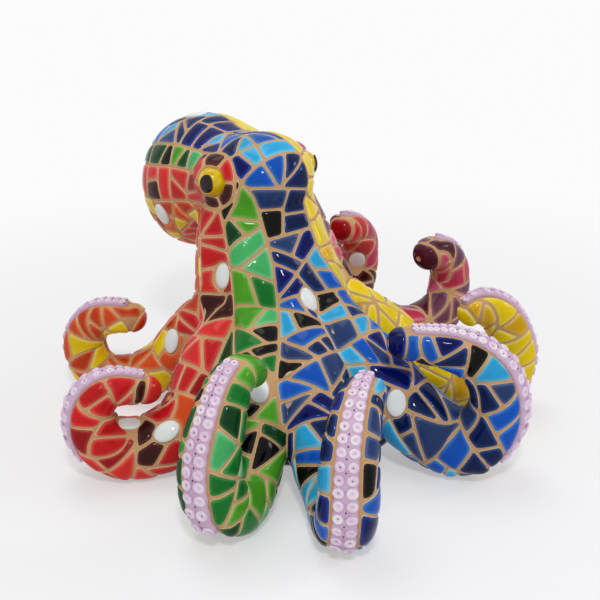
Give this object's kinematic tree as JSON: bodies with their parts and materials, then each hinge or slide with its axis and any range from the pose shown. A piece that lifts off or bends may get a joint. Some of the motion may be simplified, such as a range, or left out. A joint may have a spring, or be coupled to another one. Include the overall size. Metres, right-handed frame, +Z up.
{
  "type": "octopus figurine",
  "caption": "Table-top octopus ornament with curled arms, sucker strips, domed eyes and a broken-tile mosaic skin, resting on a flat base.",
  "frame": {"origin": "middle of the flat base, on the surface that the figurine stands on", "axes": "+Z up, -Y towards the front, where the eyes look, +X to the figurine's side that is on the right seen from the front"},
  "size_m": [0.2036, 0.2029, 0.1242],
  "materials": {
    "grout_casting": "cast resin with a matte tan grout skin",
    "sucker_strip": "cast resin, lilac paint, satin",
    "glazed_tile": "glossy glaze",
    "eye_glaze": "glossy enamel",
    "pupil_glaze": "glossy enamel"
  },
  "bodies": {
    "root": {"body_casting": "grout_casting", "rear_left_arm": "grout_casting", "left_arm": "grout_casting", "front_outer_left_arm": "grout_casting", "front_inner_left_arm": "grout_casting", "front_inner_right_arm": "grout_casting", "front_outer_right_arm": "grout_casting", "right_arm": "grout_casting", "rear_right_arm": "grout_casting", "rear_left_arm_sucker_strip": "sucker_strip", "left_arm_sucker_strip": "sucker_strip", "front_outer_left_arm_sucker_strip": "sucker_strip", "front_inner_left_arm_sucker_strip": "sucker_strip", "front_inner_right_arm_sucker_strip": "sucker_strip", "front_outer_right_arm_sucker_strip": "sucker_strip", "right_arm_sucker_strip": "sucker_strip", "rear_right_arm_sucker_strip": "sucker_strip", "left_eyeball": "eye_glaze", "right_eyeball": "eye_glaze", "left_pupil": "pupil_glaze", "right_pupil": "pupil_glaze", "oval_stones": "glazed_tile"}
  },
  "joints": []
}
